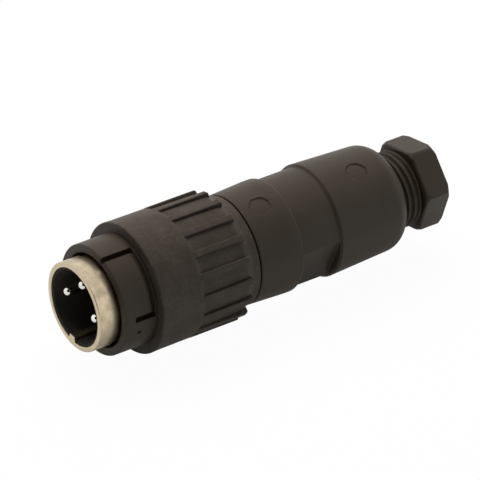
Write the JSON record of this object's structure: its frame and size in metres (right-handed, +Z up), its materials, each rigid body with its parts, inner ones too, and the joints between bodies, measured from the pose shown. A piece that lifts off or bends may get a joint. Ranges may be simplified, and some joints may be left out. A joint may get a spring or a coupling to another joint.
{
  "type": "circular cable plug connector",
  "caption": "Black circular cable plug with a keyed metal contact shell, round pins, a sprung bayonet coupling with a ribbed grip sleeve, and a screwed cable gland.",
  "frame": {"origin": "on the plug's axis, at the rim of the contact shell", "axes": "+X along the axis from the contact shell's rim to the cable entry, +Z up, the key turned 7 degrees from straight down"},
  "size_m": [0.0603, 0.0194, 0.0194],
  "materials": {
    "nickel": "satin nickel plate",
    "silver": "bright silver plate",
    "steel": "drawn spring steel",
    "housing_plastic": "satin moulded",
    "grip_plastic": "grained moulded",
    "insert_plastic": "moulded",
    "slip_plastic": "moulded",
    "rubber": "moulded"
  },
  "bodies": {
    "plug_body": {"contact_shell": "nickel", "contact_insert": "insert_plastic", "contact_pin_1": "silver", "contact_pin_2": "silver", "contact_pin_3": "silver", "insert_retainer": "steel", "front_body": "housing_plastic", "coupling_spring": "steel", "back_shell": "housing_plastic", "housing_gasket": "rubber", "spacer_sleeve": "insert_plastic", "seal_washer": "slip_plastic", "cable_seal": "rubber"},
    "coupling_carrier": {"coupling_washer": "steel"},
    "coupling": {"bayonet_ring": "housing_plastic", "grip_sleeve": "grip_plastic"},
    "gland_carrier": {"pinch_ring": "slip_plastic", "slip_washer": "slip_plastic"},
    "gland": {"gland_nut": "housing_plastic"}
  },
  "joints": [
    {"name": "coupling_push", "type": "slide", "parent": "plug_body", "child": "coupling_carrier", "axis": [-1, 0, 0], "range_m": [0, 0.0012], "stiffness_N_per_m": 1500, "springref_m": -0.001, "deforming": ["coupling_spring"]},
    {"name": "coupling_turn", "type": "hinge", "parent": "coupling_carrier", "child": "coupling", "pos_m": [0.012, 0, 0], "axis": [1, 0, 0], "continuous": true},
    {"name": "gland_travel", "type": "slide", "parent": "plug_body", "child": "gland_carrier", "axis": [1, 0, 0], "range_m": [-0.002, 0.006], "deforming": ["cable_seal"]},
    {"name": "gland_turn", "type": "hinge", "parent": "gland_carrier", "child": "gland", "pos_m": [0.0565, 0, 0], "axis": [1, 0, 0], "range_deg": [-720, 2160]}
  ],
  "couplings": [
    {"joint": "gland_turn", "follows": "gland_travel", "rad_per_m": 6283.2}
  ]
}
